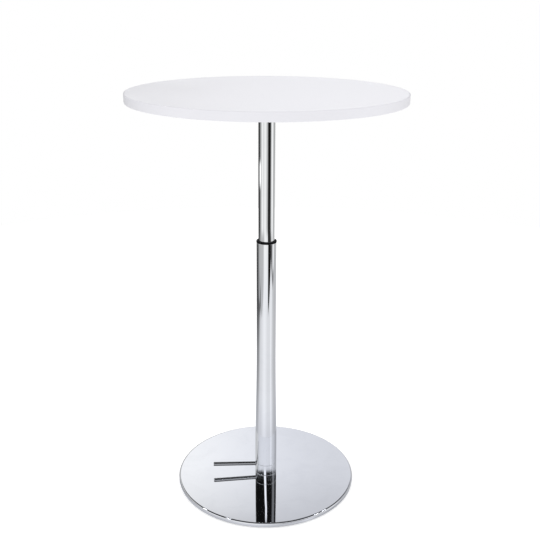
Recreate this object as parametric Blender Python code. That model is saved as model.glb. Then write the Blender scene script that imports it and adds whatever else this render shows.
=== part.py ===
"""Height-adjustable bistro table: white round top, telescopic chromed column with a flared foot
and a locking gas spring, mirror-chromed disc base and a foot lever.

Units are metres, +Z is up, and the origin is on the floor on the column's axis.
The foot lever points along -X. The model stands at its full height.
"""

import math

import bmesh
import bpy
from mathutils import Matrix, Vector

# ---------------------------------------------------------------- driving dimensions
TABLE_HEIGHT = 1.100
GAP = 0.0003

TOP_DIAMETER = 0.700
TOP_THICKNESS = 0.022
BAND_THICKNESS = 0.002
BAND_EDGE_RADIUS = 0.0015

FLANGE_DIAMETER = 0.200
FLANGE_THICKNESS = 0.005
FLANGE_EDGE_CHAMFER = 0.0012
FLANGE_SPIGOT_HEIGHT = 0.020
FLANGE_SCREW_COUNT = 6
FLANGE_SCREW_CIRCLE = 0.170
FLANGE_SCREW = {"shank": 0.0022, "head": 0.0046, "length": 0.017}

BASE_DIAMETER = 0.500
BASE_THICKNESS = 0.012
BASE_EDGE_RADIUS = 0.0042
BASE_FOOT_CHAMFER = 0.0010
BASE_SCREW_COUNT = 4
BASE_SCREW_CIRCLE = 0.038
BASE_SCREW = {"shank": 0.004, "head": 0.008, "length": 0.025}

GLIDE_HEIGHT = 0.003
GLIDE_RADIUS = 0.011
GLIDE_EDGE_CHAMFER = 0.00075
GLIDE_STEM_RADIUS = 0.0037
GLIDE_STEM_LENGTH = 0.007
GLIDE_COUNT = 6
GLIDE_CIRCLE = 0.440

LOWER_TUBE_DIAMETER = 0.053
LOWER_TUBE_TOP = 0.7098
FOOT_DIAMETER = 0.060
FLARE_BOTTOM = 0.100
FLARE_TOP = 0.400
UPPER_TUBE_DIAMETER = 0.043
UPPER_TUBE_BOTTOM = 0.515
TUBE_WALL = 0.002
TUBE_EDGE_CHAMFER = 0.0004

BUSH_FLANGE_HEIGHT = 0.0043
BUSH_FLANGE_OVERHANG = 0.0005
BUSH_EDGE_CHAMFER = 0.0008
BUSH_SLEEVE_LENGTH = 0.060

GUIDE_BOTTOM = 0.517
GUIDE_LENGTH = 0.030
GROOVE_BOTTOM = 0.530
GROOVE_WIDTH = 0.004
GROOVE_DEPTH = 0.0008

SOCKET_HEIGHT = 0.031
SOCKET_CHAMFER = 0.0008
SPIGOT_HEIGHT = 0.022
POCKET_LOW_X = -0.023
POCKET_HIGH_X = 0.008
POCKET_HALF_WIDTH = 0.0075
POCKET_HEIGHT = 0.033

GRUB_RADIUS = 0.003
GRUB_START = 0.015
GRUB_SINK = 0.0006
GRUB_BEARINGS = (math.radians(60.0), math.radians(120.0))
GRUB_HEIGHT_ABOVE_SHOULDER = 0.011

LEVER_DIAMETER = 0.011
LEVER_REACH = 0.151
LEVER_TIP_RADIUS = 0.002
LEVER_TILT = math.radians(1.8)
LEVER_TRAVEL = math.radians(8.0)
LEVER_HEIGHT_AT_SOCKET = 0.0235
LEVER_SLOT_CLEARANCE = 0.0005
LEVER_SPIGOT_RADIUS = 0.003
LEVER_SPIGOT_LENGTH = 0.0071
PIVOT_OFFSET = 0.011
PIVOT_PIN_RADIUS = 0.002
PIVOT_PIN_FRONT = 0.0187
PIVOT_PIN_BACK = 0.0270

HUB_LENGTH = 0.0108
HUB_HALF_WIDTH = 0.006
HUB_HALF_HEIGHT = 0.0058
HUB_PAD_RADIUS = 0.003
HUB_PAD_HEIGHT = 0.002

PISTON_ROD_RADIUS = 0.005
RELEASE_PIN_RADIUS = 0.002
RELEASE_PIN_RECESS = 0.002
ROD_SEAT_HEIGHT = 0.035
ROD_SEAT_LEDGE = 0.003
LOCKNUT_FLATS = 0.017
LOCKNUT_HEIGHT = 0.006
CYLINDER_RADIUS = 0.014
CYLINDER_WALL = 0.0015
CYLINDER_LENGTH = 0.612
CYLINDER_SHOULDER = 0.003
STUD_RADIUS = 0.005
STUD_HEIGHT = 0.0095
GLAND_INSET = 0.0015
GLAND_LENGTH = 0.0225
PISTON_CLEARANCE = 0.0026
PISTON_LENGTH = 0.018
ROD_END_ABOVE_PISTON = 0.005
NUT_FLATS = 0.017
NUT_HEIGHT = 0.006
WASHER_RADIUS = 0.010
WASHER_THICKNESS = 0.0016
NUT_RECESS_RADIUS = 0.014
NUT_RECESS_DEPTH = 0.011

# hexagon socket of a screw: width over its shank's radius, depth over its head's cone
SOCKET_FLATS = 1.25
SOCKET_DEPTH = 0.7

# facets round a full turn: wide discs, tubes, small pieces, the thin pin
DISC_FACETS = 72
TUBE_FACETS = 36
SMALL_FACETS = 16
PIN_FACETS = 12

# steps along a curve: edge roundings, the base's rim, the tube's flare, the lever slot's foot,
# the hub's pad
ARC_STEPS = 2
RIM_STEPS = 3
FLARE_STEPS = 7
SLOT_STEPS = 10
PAD_STEPS = 7

# ---------------------------------------------------------------- derived levels and radii
TOP_UNDERSIDE = TABLE_HEIGHT - TOP_THICKNESS
FLANGE_TOP = TOP_UNDERSIDE - GAP
FLANGE_BOTTOM = FLANGE_TOP - FLANGE_THICKNESS
BASE_TOP = GLIDE_HEIGHT + BASE_THICKNESS
SOCKET_BOTTOM = BASE_TOP + GAP
SOCKET_SHOULDER = BASE_TOP + SOCKET_HEIGHT
SPIGOT_TOP = SOCKET_SHOULDER + SPIGOT_HEIGHT
LOWER_TUBE_BOTTOM = SOCKET_SHOULDER + GAP

FOOT_RADIUS = FOOT_DIAMETER / 2
LOWER_TUBE_RADIUS = LOWER_TUBE_DIAMETER / 2
LOWER_TUBE_BORE = LOWER_TUBE_RADIUS - TUBE_WALL
UPPER_TUBE_RADIUS = UPPER_TUBE_DIAMETER / 2
UPPER_TUBE_BORE = UPPER_TUBE_RADIUS - TUBE_WALL
GUIDE_BORE = UPPER_TUBE_RADIUS + GAP
GUIDE_RADIUS = LOWER_TUBE_BORE - GAP
LEVER_RADIUS = LEVER_DIAMETER / 2

CYLINDER_BORE = CYLINDER_RADIUS - CYLINDER_WALL
CYLINDER_TOP = FLANGE_BOTTOM - GAP
CYLINDER_BOTTOM = CYLINDER_TOP - CYLINDER_LENGTH
PISTON_BOTTOM = CYLINDER_BOTTOM + GLAND_INSET + GLAND_LENGTH + PISTON_CLEARANCE
ROD_BOTTOM = BASE_TOP + ROD_SEAT_HEIGHT + GAP
ROD_TOP = PISTON_BOTTOM + PISTON_LENGTH + ROD_END_ABOVE_PISTON

# the lever's axis crosses the socket's wall at its stated height and slopes up to its tip
PIVOT_DROP = math.tan(LEVER_TILT) * (FOOT_RADIUS - PIVOT_OFFSET)
PIVOT = Vector((-PIVOT_OFFSET, 0.0, BASE_TOP + LEVER_HEIGHT_AT_SOCKET - PIVOT_DROP))
PRESSED_TILT = LEVER_TRAVEL - LEVER_TILT
PAD_CENTRE_HEIGHT = HUB_PAD_HEIGHT * math.cos(LEVER_TILT) - PIVOT_OFFSET * math.sin(LEVER_TILT)
RELEASE_PIN_BOTTOM = PIVOT.z + PAD_CENTRE_HEIGHT + HUB_PAD_RADIUS + GAP
RELEASE_PIN_TOP = ROD_TOP - RELEASE_PIN_RECESS


# ---------------------------------------------------------------- materials
def principled(name, colour, roughness, metallic):
    material = bpy.data.materials.new(name)
    material.use_nodes = True
    shader = material.node_tree.nodes["Principled BSDF"]
    shader.inputs["Base Color"].default_value = (*colour, 1.0)
    shader.inputs["Roughness"].default_value = roughness
    shader.inputs["Metallic"].default_value = metallic
    material.diffuse_color = (*colour, 1.0)
    return material


def make_materials():
    return {
        "laminate": principled("white_laminate", (0.86, 0.86, 0.88), 0.35, 0.0),
        "edge": principled("white_edge", (0.84, 0.84, 0.86), 0.40, 0.0),
        "chrome": principled("chrome", (0.85, 0.86, 0.88), 0.04, 1.0),
        "plastic": principled("black_plastic", (0.015, 0.015, 0.016), 0.45, 0.0),
        "black_steel": principled("black_steel", (0.03, 0.03, 0.03), 0.50, 0.3),
        "zinc": principled("zinc_steel", (0.62, 0.63, 0.65), 0.35, 1.0),
    }


# ---------------------------------------------------------------- mesh helpers
def to_object(mesh_data, name, material, origin=(0.0, 0.0, 0.0)):
    """Turn the bmesh into a named object whose origin is at the given world point."""
    bmesh.ops.recalc_face_normals(mesh_data, faces=mesh_data.faces)
    bmesh.ops.translate(mesh_data, verts=mesh_data.verts, vec=-Vector(origin))
    mesh = bpy.data.meshes.new(name)
    mesh_data.to_mesh(mesh)
    mesh_data.free()
    mesh.shade_smooth()
    mesh.set_sharp_from_angle(angle=math.radians(30.0))
    mesh.materials.append(material)
    piece = bpy.data.objects.new(name, mesh)
    piece.location = origin
    bpy.context.scene.collection.objects.link(piece)
    return piece


def spun(profile, facets):
    """Turn a closed outline of (radius, height) points about the Z axis."""
    mesh_data = bmesh.new()
    points = [mesh_data.verts.new((radius, 0.0, height)) for radius, height in profile]
    edges = []
    for i, point in enumerate(points):
        on_axis = profile[i - 1][0] == 0.0 and profile[i][0] == 0.0
        if not on_axis:
            edges.append(mesh_data.edges.new((points[i - 1], point)))
    bmesh.ops.spin(
        mesh_data, geom=points + edges, cent=(0, 0, 0), axis=(0, 0, 1),
        angle=math.tau, steps=facets, use_merge=True,
    )
    bmesh.ops.remove_doubles(mesh_data, verts=mesh_data.verts, dist=1e-6)
    return mesh_data


def ring(inner, outer, low, high, chamfer=0.0):
    """Outline of a ring, or of a disc when inner is 0, with both outer edges chamfered."""
    if chamfer == 0.0:
        return [(inner, low), (outer, low), (outer, high), (inner, high)]
    return [
        (inner, low), (outer - chamfer, low), (outer, low + chamfer),
        (outer, high - chamfer), (outer - chamfer, high), (inner, high),
    ]


def arc(centre, radius, start, end, steps=ARC_STEPS):
    """Points of an arc, with both ends, in whatever plane the outline is drawn in."""
    points = []
    for step in range(steps + 1):
        angle = start + (end - start) * step / steps
        points.append((centre[0] + radius * math.cos(angle), centre[1] + radius * math.sin(angle)))
    return points


def prism(outline, low, high):
    """Extrude a flat outline of (x, y) points from one height to another."""
    mesh_data = bmesh.new()
    face = mesh_data.faces.new([mesh_data.verts.new((x, y, low)) for x, y in outline])
    extruded = bmesh.ops.extrude_face_region(mesh_data, geom=[face])["geom"]
    lifted = [item for item in extruded if isinstance(item, bmesh.types.BMVert)]
    bmesh.ops.translate(mesh_data, verts=lifted, vec=(0, 0, high - low))
    bmesh.ops.recalc_face_normals(mesh_data, faces=mesh_data.faces)
    return mesh_data


def box(low, high):
    outline = [(low[0], low[1]), (high[0], low[1]), (high[0], high[1]), (low[0], high[1])]
    return prism(outline, low[2], high[2])


def hexagon(across_flats):
    corner = across_flats / 2 / math.cos(math.pi / 6)
    return [(corner * math.cos(math.tau * i / 6), corner * math.sin(math.tau * i / 6)) for i in range(6)]


def placed(mesh_data, matrix):
    bmesh.ops.transform(mesh_data, matrix=matrix, verts=mesh_data.verts)
    return mesh_data


def shift(x, y, z):
    return Matrix.Translation((x, y, z))


def along_radius(bearing, height):
    """Lay a shape made on the Z axis along a level radius at a bearing from +X."""
    return shift(0, 0, height) @ Matrix.Rotation(bearing, 4, "Z") @ Matrix.Rotation(math.pi / 2, 4, "Y")


def on_circle(diameter, count, phase=0.0):
    bearings = [phase + math.tau * i / count for i in range(count)]
    return [(diameter / 2 * math.cos(angle), diameter / 2 * math.sin(angle)) for angle in bearings]


def cut(piece, tool):
    """Take the tool's shape out of the piece."""
    number = len(piece.modifiers)
    cutter = to_object(tool, f"cutter_{piece.name}_{number}", piece.data.materials[0])
    cutter.hide_render = True
    cutter.display_type = "WIRE"
    boolean = piece.modifiers.new(f"cut_{number}", "BOOLEAN")
    boolean.operation = "DIFFERENCE"
    boolean.object = cutter


# ---------------------------------------------------------------- screws
def screw_outline(size, grow=0.0):
    """Countersunk screw with its head's face at height 0 and its point upwards."""
    cone = size["head"] - size["shank"]
    head = size["head"] + grow
    shank = size["shank"] + grow
    return [
        (0.0, -grow), (head, -grow), (head, 0.0), (shank, cone),
        (shank, size["length"] + grow), (0.0, size["length"] + grow),
    ]


def countersunk_screw(name, material, size, place, head_height):
    profile = screw_outline(size)
    del profile[1]
    mesh_data = placed(spun(profile, SMALL_FACETS), shift(place[0], place[1], head_height))
    screw = to_object(mesh_data, name, material, (place[0], place[1], head_height))
    socket_depth = SOCKET_DEPTH * (size["head"] - size["shank"])
    socket = prism(hexagon(SOCKET_FLATS * size["shank"]), -GAP, socket_depth)
    cut(screw, placed(socket, shift(place[0], place[1], head_height)))


def screw_hole(piece, size, place, head_height):
    tool = spun(screw_outline(size, GAP), SMALL_FACETS)
    cut(piece, placed(tool, shift(place[0], place[1], head_height)))


# ---------------------------------------------------------------- top
def make_tabletop(materials):
    outer = TOP_DIAMETER / 2
    inner = outer - BAND_THICKNESS
    mesh_data = spun(ring(0.0, inner - GAP, TOP_UNDERSIDE, TABLE_HEIGHT), DISC_FACETS)
    board = to_object(mesh_data, "tabletop_board", materials["laminate"], (0, 0, TOP_UNDERSIDE))
    recess = ring(0.0, NUT_RECESS_RADIUS, TOP_UNDERSIDE - GAP, TOP_UNDERSIDE + NUT_RECESS_DEPTH)
    cut(board, spun(recess, SMALL_FACETS))
    for place in on_circle(FLANGE_SCREW_CIRCLE, FLANGE_SCREW_COUNT):
        screw_hole(board, FLANGE_SCREW, place, FLANGE_BOTTOM)

    corner = outer - BAND_EDGE_RADIUS
    low = TOP_UNDERSIDE + BAND_EDGE_RADIUS
    high = TABLE_HEIGHT - BAND_EDGE_RADIUS
    profile = [(inner, TOP_UNDERSIDE)]
    profile += arc((corner, low), BAND_EDGE_RADIUS, -math.pi / 2, 0.0)
    profile += arc((corner, high), BAND_EDGE_RADIUS, 0.0, math.pi / 2)
    profile += [(inner, TABLE_HEIGHT)]
    to_object(spun(profile, DISC_FACETS), "edge_band", materials["edge"], (0, 0, TOP_UNDERSIDE))


def make_flange(materials):
    spigot_outer = UPPER_TUBE_BORE - GAP
    spigot_inner = CYLINDER_RADIUS + GAP
    spigot_bottom = FLANGE_BOTTOM - FLANGE_SPIGOT_HEIGHT
    rim = FLANGE_DIAMETER / 2
    profile = [
        (STUD_RADIUS + GAP, FLANGE_BOTTOM), (spigot_inner, FLANGE_BOTTOM),
        (spigot_inner, spigot_bottom), (spigot_outer, spigot_bottom),
        (spigot_outer, FLANGE_BOTTOM), (rim - FLANGE_EDGE_CHAMFER, FLANGE_BOTTOM),
        (rim, FLANGE_BOTTOM + FLANGE_EDGE_CHAMFER), (rim, FLANGE_TOP), (STUD_RADIUS + GAP, FLANGE_TOP),
    ]
    flange = to_object(
        spun(profile, TUBE_FACETS), "top_flange", materials["black_steel"], (0, 0, FLANGE_BOTTOM)
    )
    for number, place in enumerate(on_circle(FLANGE_SCREW_CIRCLE, FLANGE_SCREW_COUNT), 1):
        screw_hole(flange, FLANGE_SCREW, place, FLANGE_BOTTOM)
        name = f"flange_screw_{number}"
        countersunk_screw(name, materials["zinc"], FLANGE_SCREW, place, FLANGE_BOTTOM)


# ---------------------------------------------------------------- column
def make_upper_tube(materials):
    groove_top = GROOVE_BOTTOM + GROOVE_WIDTH
    groove_radius = UPPER_TUBE_RADIUS - GROOVE_DEPTH
    top = FLANGE_BOTTOM - GAP
    profile = [
        (UPPER_TUBE_BORE, UPPER_TUBE_BOTTOM),
        (UPPER_TUBE_RADIUS - TUBE_EDGE_CHAMFER, UPPER_TUBE_BOTTOM),
        (UPPER_TUBE_RADIUS, UPPER_TUBE_BOTTOM + TUBE_EDGE_CHAMFER),
        (UPPER_TUBE_RADIUS, GROOVE_BOTTOM), (groove_radius, GROOVE_BOTTOM),
        (groove_radius, groove_top), (UPPER_TUBE_RADIUS, groove_top),
        (UPPER_TUBE_RADIUS, top), (UPPER_TUBE_BORE, top),
    ]
    to_object(spun(profile, TUBE_FACETS), "inner_tube", materials["chrome"], (0, 0, UPPER_TUBE_BOTTOM))

    guide_top = GUIDE_BOTTOM + GUIDE_LENGTH
    bead_radius = groove_radius + GAP
    profile = [
        (GUIDE_BORE, GUIDE_BOTTOM), (GUIDE_RADIUS, GUIDE_BOTTOM),
        (GUIDE_RADIUS, guide_top), (GUIDE_BORE, guide_top),
        (GUIDE_BORE, groove_top - GAP), (bead_radius, groove_top - GAP),
        (bead_radius, GROOVE_BOTTOM + GAP), (GUIDE_BORE, GROOVE_BOTTOM + GAP),
    ]
    to_object(spun(profile, TUBE_FACETS), "lower_guide", materials["plastic"], (0, 0, GUIDE_BOTTOM))


def flare():
    """Outside of the lower tube from its foot upwards: an S-curve from the wide to the slim radius."""
    points = []
    for step in range(FLARE_STEPS + 1):
        rise = step / FLARE_STEPS
        slimmed = rise * rise * (3 - 2 * rise)
        radius = FOOT_RADIUS + (LOWER_TUBE_RADIUS - FOOT_RADIUS) * slimmed
        points.append((radius, FLARE_BOTTOM + (FLARE_TOP - FLARE_BOTTOM) * rise))
    return points


def make_lower_tube(materials):
    """The bore is straight, for the guide that slides in it; the wall thickens towards the foot."""
    edge = TUBE_EDGE_CHAMFER
    profile = [
        (LOWER_TUBE_BORE, LOWER_TUBE_BOTTOM), (FOOT_RADIUS - edge, LOWER_TUBE_BOTTOM),
        (FOOT_RADIUS, LOWER_TUBE_BOTTOM + edge),
    ]
    profile += flare()
    profile += [
        (LOWER_TUBE_RADIUS, LOWER_TUBE_TOP - edge), (LOWER_TUBE_RADIUS - edge, LOWER_TUBE_TOP),
        (LOWER_TUBE_BORE, LOWER_TUBE_TOP),
    ]
    tube = to_object(
        spun(profile, TUBE_FACETS), "outer_tube", materials["chrome"], (0, 0, LOWER_TUBE_BOTTOM)
    )
    grub_height = SOCKET_SHOULDER + GRUB_HEIGHT_ABOVE_SHOULDER
    for bearing in GRUB_BEARINGS:
        hole = ring(0.0, GRUB_RADIUS + GAP, GRUB_START, FOOT_RADIUS + GAP)
        cut(tube, placed(spun(hole, SMALL_FACETS), along_radius(bearing, grub_height)))

    flange_bottom = LOWER_TUBE_TOP + GAP
    flange_top = flange_bottom + BUSH_FLANGE_HEIGHT
    flange_radius = LOWER_TUBE_RADIUS + BUSH_FLANGE_OVERHANG
    sleeve_bottom = LOWER_TUBE_TOP - BUSH_SLEEVE_LENGTH
    profile = [
        (GUIDE_BORE, sleeve_bottom), (GUIDE_RADIUS, sleeve_bottom), (GUIDE_RADIUS, flange_bottom),
        (flange_radius - BUSH_EDGE_CHAMFER / 2, flange_bottom),
        (flange_radius, flange_bottom + BUSH_EDGE_CHAMFER / 2),
        (flange_radius, flange_top - BUSH_EDGE_CHAMFER),
        (flange_radius - BUSH_EDGE_CHAMFER, flange_top), (GUIDE_BORE, flange_top),
    ]
    to_object(spun(profile, TUBE_FACETS), "guide_bush", materials["plastic"], (0, 0, sleeve_bottom))


def lever_slot():
    """Upright slot through the socket's wall, round at its foot and open at the socket's top."""
    half_width = LEVER_RADIUS + LEVER_SLOT_CLEARANCE
    drop = math.tan(PRESSED_TILT) * (FOOT_RADIUS - PIVOT_OFFSET)
    foot = PIVOT.z - drop
    outline = arc((0.0, foot), half_width, math.pi, math.tau, SLOT_STEPS)
    outline += [(half_width, SOCKET_SHOULDER + GAP), (-half_width, SOCKET_SHOULDER + GAP)]
    swap = Matrix(((0, 0, 1, 0), (1, 0, 0, 0), (0, 1, 0, 0), (0, 0, 0, 1)))
    return placed(prism(outline, -FOOT_RADIUS - GAP, POCKET_LOW_X + GAP), swap)


def make_socket(materials):
    spigot_radius = LOWER_TUBE_BORE - GAP
    profile = [
        (0.0, SOCKET_BOTTOM), (FOOT_RADIUS - SOCKET_CHAMFER, SOCKET_BOTTOM),
        (FOOT_RADIUS, SOCKET_BOTTOM + SOCKET_CHAMFER),
        (FOOT_RADIUS, SOCKET_SHOULDER - TUBE_EDGE_CHAMFER),
        (FOOT_RADIUS - TUBE_EDGE_CHAMFER, SOCKET_SHOULDER), (spigot_radius, SOCKET_SHOULDER),
        (spigot_radius, SPIGOT_TOP), (0.0, SPIGOT_TOP),
    ]
    socket = to_object(
        spun(profile, TUBE_FACETS), "foot_socket", materials["chrome"], (0, 0, SOCKET_BOTTOM)
    )
    pocket_low = (POCKET_LOW_X, -POCKET_HALF_WIDTH, SOCKET_BOTTOM - GAP)
    pocket_high = (POCKET_HIGH_X, POCKET_HALF_WIDTH, BASE_TOP + POCKET_HEIGHT)
    cut(socket, box(pocket_low, pocket_high))
    cut(socket, lever_slot())
    seat_low = BASE_TOP + ROD_SEAT_HEIGHT
    pin_hole = RELEASE_PIN_RADIUS + GAP
    rod_hole = PISTON_ROD_RADIUS + GAP
    ledge_low = seat_low - ROD_SEAT_LEDGE
    rod_seat = [
        (0.0, ledge_low), (pin_hole, ledge_low), (pin_hole, seat_low),
        (rod_hole, seat_low), (rod_hole, SPIGOT_TOP + GAP), (0.0, SPIGOT_TOP + GAP),
    ]
    cut(socket, spun(rod_seat, SMALL_FACETS))
    for place in on_circle(BASE_SCREW_CIRCLE, BASE_SCREW_COUNT, math.pi / 4):
        screw_hole(socket, BASE_SCREW, place, GLIDE_HEIGHT)
    grub_height = SOCKET_SHOULDER + GRUB_HEIGHT_ABOVE_SHOULDER
    grub_end = FOOT_RADIUS - GRUB_SINK
    for number, bearing in enumerate(GRUB_BEARINGS, 1):
        hole = ring(0.0, GRUB_RADIUS + GAP, GRUB_START - GAP, FOOT_RADIUS)
        cut(socket, placed(spun(hole, SMALL_FACETS), along_radius(bearing, grub_height)))
        name = f"socket_grub_screw_{number}"
        place = along_radius(bearing, grub_height)
        body = placed(spun(ring(0.0, GRUB_RADIUS, GRUB_START, grub_end), SMALL_FACETS), place)
        screw = to_object(body, name, materials["black_steel"])
        drive = prism(hexagon(GRUB_RADIUS), (GRUB_START + grub_end) / 2, grub_end + GAP)
        cut(screw, placed(drive, place))
    across = shift(PIVOT.x, 0, PIVOT.z) @ Matrix.Rotation(-math.pi / 2, 4, "X")
    pivot_hole = ring(0.0, PIVOT_PIN_RADIUS + GAP, -PIVOT_PIN_FRONT - GAP, FOOT_RADIUS + GAP)
    cut(socket, placed(spun(pivot_hole, SMALL_FACETS), across))
    pin = ring(0.0, PIVOT_PIN_RADIUS, -PIVOT_PIN_FRONT, PIVOT_PIN_BACK, GAP)
    to_object(placed(spun(pin, SMALL_FACETS), across), "lever_pivot_pin", materials["zinc"], PIVOT)


# ---------------------------------------------------------------- base
def make_base(materials):
    rim = BASE_DIAMETER / 2
    corner = (rim - BASE_EDGE_RADIUS, BASE_TOP - BASE_EDGE_RADIUS)
    profile = [
        (0.0, GLIDE_HEIGHT), (rim - BASE_FOOT_CHAMFER, GLIDE_HEIGHT),
        (rim, GLIDE_HEIGHT + BASE_FOOT_CHAMFER),
    ]
    profile += arc(corner, BASE_EDGE_RADIUS, 0.0, math.pi / 2, RIM_STEPS)
    profile += [(0.0, BASE_TOP)]
    plate = to_object(spun(profile, DISC_FACETS), "base_plate", materials["chrome"], (0, 0, GLIDE_HEIGHT))
    for number, place in enumerate(on_circle(BASE_SCREW_CIRCLE, BASE_SCREW_COUNT, math.pi / 4), 1):
        screw_hole(plate, BASE_SCREW, place, GLIDE_HEIGHT)
        countersunk_screw(f"base_screw_{number}", materials["zinc"], BASE_SCREW, place, GLIDE_HEIGHT)
    stem_top = GLIDE_HEIGHT + GLIDE_STEM_LENGTH
    pad_top = GLIDE_HEIGHT - GAP
    for number, place in enumerate(on_circle(GLIDE_CIRCLE, GLIDE_COUNT), 1):
        hole = ring(0.0, GLIDE_STEM_RADIUS + GAP, pad_top, stem_top + GAP)
        cut(plate, placed(spun(hole, SMALL_FACETS), shift(place[0], place[1], 0)))
        profile = [
            (0.0, 0.0), (GLIDE_RADIUS - GLIDE_EDGE_CHAMFER, 0.0), (GLIDE_RADIUS, GLIDE_EDGE_CHAMFER),
            (GLIDE_RADIUS, pad_top), (GLIDE_STEM_RADIUS, pad_top),
            (GLIDE_STEM_RADIUS, stem_top), (0.0, stem_top),
        ]
        glide = placed(spun(profile, SMALL_FACETS), shift(place[0], place[1], 0))
        to_object(glide, f"glide_{number}", materials["plastic"], (place[0], place[1], 0))


# ---------------------------------------------------------------- gas spring
def make_gas_spring(materials):
    dome = CYLINDER_TOP - CYLINDER_SHOULDER
    stud_top = TOP_UNDERSIDE + STUD_HEIGHT
    profile = [
        (CYLINDER_BORE, CYLINDER_BOTTOM), (CYLINDER_RADIUS, CYLINDER_BOTTOM), (CYLINDER_RADIUS, dome),
        (CYLINDER_RADIUS - CYLINDER_SHOULDER, CYLINDER_TOP), (STUD_RADIUS, CYLINDER_TOP),
        (STUD_RADIUS, stud_top), (0.0, stud_top), (0.0, dome), (CYLINDER_BORE, dome),
    ]
    cylinder = spun(profile, SMALL_FACETS)
    to_object(cylinder, "gas_cylinder", materials["black_steel"], (0, 0, CYLINDER_BOTTOM))

    bore_fit = CYLINDER_BORE - GAP
    rod_fit = PISTON_ROD_RADIUS + GAP
    gland_bottom = CYLINDER_BOTTOM + GLAND_INSET
    gland = ring(rod_fit, bore_fit, gland_bottom, gland_bottom + GLAND_LENGTH)
    to_object(spun(gland, SMALL_FACETS), "rod_gland", materials["plastic"], (0, 0, gland_bottom))
    piston = ring(rod_fit, bore_fit, PISTON_BOTTOM, PISTON_BOTTOM + PISTON_LENGTH, GAP)
    to_object(spun(piston, SMALL_FACETS), "gas_piston", materials["zinc"], (0, 0, PISTON_BOTTOM))

    pin_fit = RELEASE_PIN_RADIUS + GAP
    rod = ring(pin_fit, PISTON_ROD_RADIUS, ROD_BOTTOM, ROD_TOP)
    to_object(spun(rod, SMALL_FACETS), "piston_rod", materials["chrome"], (0, 0, ROD_BOTTOM))
    pin = ring(0.0, RELEASE_PIN_RADIUS, RELEASE_PIN_BOTTOM, RELEASE_PIN_TOP, GAP)
    to_object(spun(pin, PIN_FACETS), "release_pin", materials["zinc"], (0, 0, RELEASE_PIN_BOTTOM))

    make_nut("rod_locknut", materials["zinc"], LOCKNUT_FLATS, LOCKNUT_HEIGHT, SPIGOT_TOP + GAP, rod_fit)
    washer_low = FLANGE_TOP + GAP
    washer_high = washer_low + WASHER_THICKNESS
    washer = ring(STUD_RADIUS + GAP, WASHER_RADIUS, washer_low, washer_high)
    to_object(spun(washer, SMALL_FACETS), "cylinder_washer", materials["zinc"], (0, 0, washer_low))
    make_nut("cylinder_nut", materials["zinc"], NUT_FLATS, NUT_HEIGHT, washer_high + GAP, STUD_RADIUS + GAP)


def make_nut(name, material, flats, height, low, bore):
    nut = to_object(prism(hexagon(flats), low, low + height), name, material, (0, 0, low))
    cut(nut, spun(ring(0.0, bore, low - GAP, low + height + GAP), SMALL_FACETS))


# ---------------------------------------------------------------- foot lever
def make_lever(materials):
    """Lever and hub, drawn level about the pivot and then tilted up to the lever's tip."""
    tilted = Matrix.Translation(PIVOT) @ Matrix.Rotation(LEVER_TILT, 4, "Y")
    tip = (LEVER_REACH - PIVOT_OFFSET) / math.cos(LEVER_TILT)
    shoulder = HUB_LENGTH + GAP
    spigot_end = shoulder - LEVER_SPIGOT_LENGTH
    profile = [(0.0, spigot_end), (LEVER_SPIGOT_RADIUS, spigot_end)]
    profile += [(LEVER_SPIGOT_RADIUS, shoulder), (LEVER_RADIUS, shoulder)]
    corner = (LEVER_RADIUS - LEVER_TIP_RADIUS, tip - LEVER_TIP_RADIUS)
    profile += arc(corner, LEVER_TIP_RADIUS, 0.0, math.pi / 2)
    profile += [(0.0, tip)]
    outwards = Matrix.Rotation(-math.pi / 2, 4, "Y")
    rod = placed(spun(profile, SMALL_FACETS), tilted @ outwards)
    to_object(rod, "lever_rod", materials["chrome"], PIVOT)

    # side view of the hub: block round the pivot, then a nose with a round pad under the pin
    half = HUB_HALF_HEIGHT
    block_end = PIVOT_OFFSET - 2 * HUB_PAD_RADIUS
    pad = (PIVOT_OFFSET, HUB_PAD_HEIGHT)
    outline = [(-HUB_LENGTH, half), (-HUB_LENGTH, -half), (block_end, -half)]
    outline += arc(pad, HUB_PAD_RADIUS, -math.pi / 2, math.radians(120.0), PAD_STEPS)
    outline += [(block_end + HUB_PAD_RADIUS / 2, HUB_PAD_HEIGHT + HUB_PAD_RADIUS / 2), (block_end, half)]
    upright = Matrix.Rotation(math.pi / 2, 4, "X")
    block = placed(prism(outline, -HUB_HALF_WIDTH, HUB_HALF_WIDTH), tilted @ upright)
    hub = to_object(block, "lever_hub", materials["zinc"], PIVOT)
    bore = ring(0.0, LEVER_SPIGOT_RADIUS + GAP, spigot_end - GAP, HUB_LENGTH + GAP)
    cut(hub, placed(spun(bore, SMALL_FACETS), tilted @ outwards))
    pivot_bore = ring(0.0, PIVOT_PIN_RADIUS + GAP, -HUB_HALF_WIDTH - GAP, HUB_HALF_WIDTH + GAP)
    cut(hub, placed(spun(pivot_bore, SMALL_FACETS), tilted @ upright))


# ---------------------------------------------------------------- the whole table
def build():
    for old in list(bpy.data.objects):
        bpy.data.objects.remove(old, do_unlink=True)
    materials = make_materials()
    make_tabletop(materials)
    make_flange(materials)
    make_upper_tube(materials)
    make_lower_tube(materials)
    make_socket(materials)
    make_base(materials)
    make_gas_spring(materials)
    make_lever(materials)


build()
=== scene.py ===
"""Looks of the height-adjustable bistro table: white laminate top, mirror-chromed telescopic
column, chromed disc base and a foot lever, in a plain white studio.

Units are metres, +Z is up and the origin is on the floor on the column's axis, as in the CAD.
Every turned part that shows is rebuilt here with fine rounded edges, inside its CAD solid.
"""

import math

import bmesh
import bpy
from mathutils import Matrix, Vector


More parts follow.
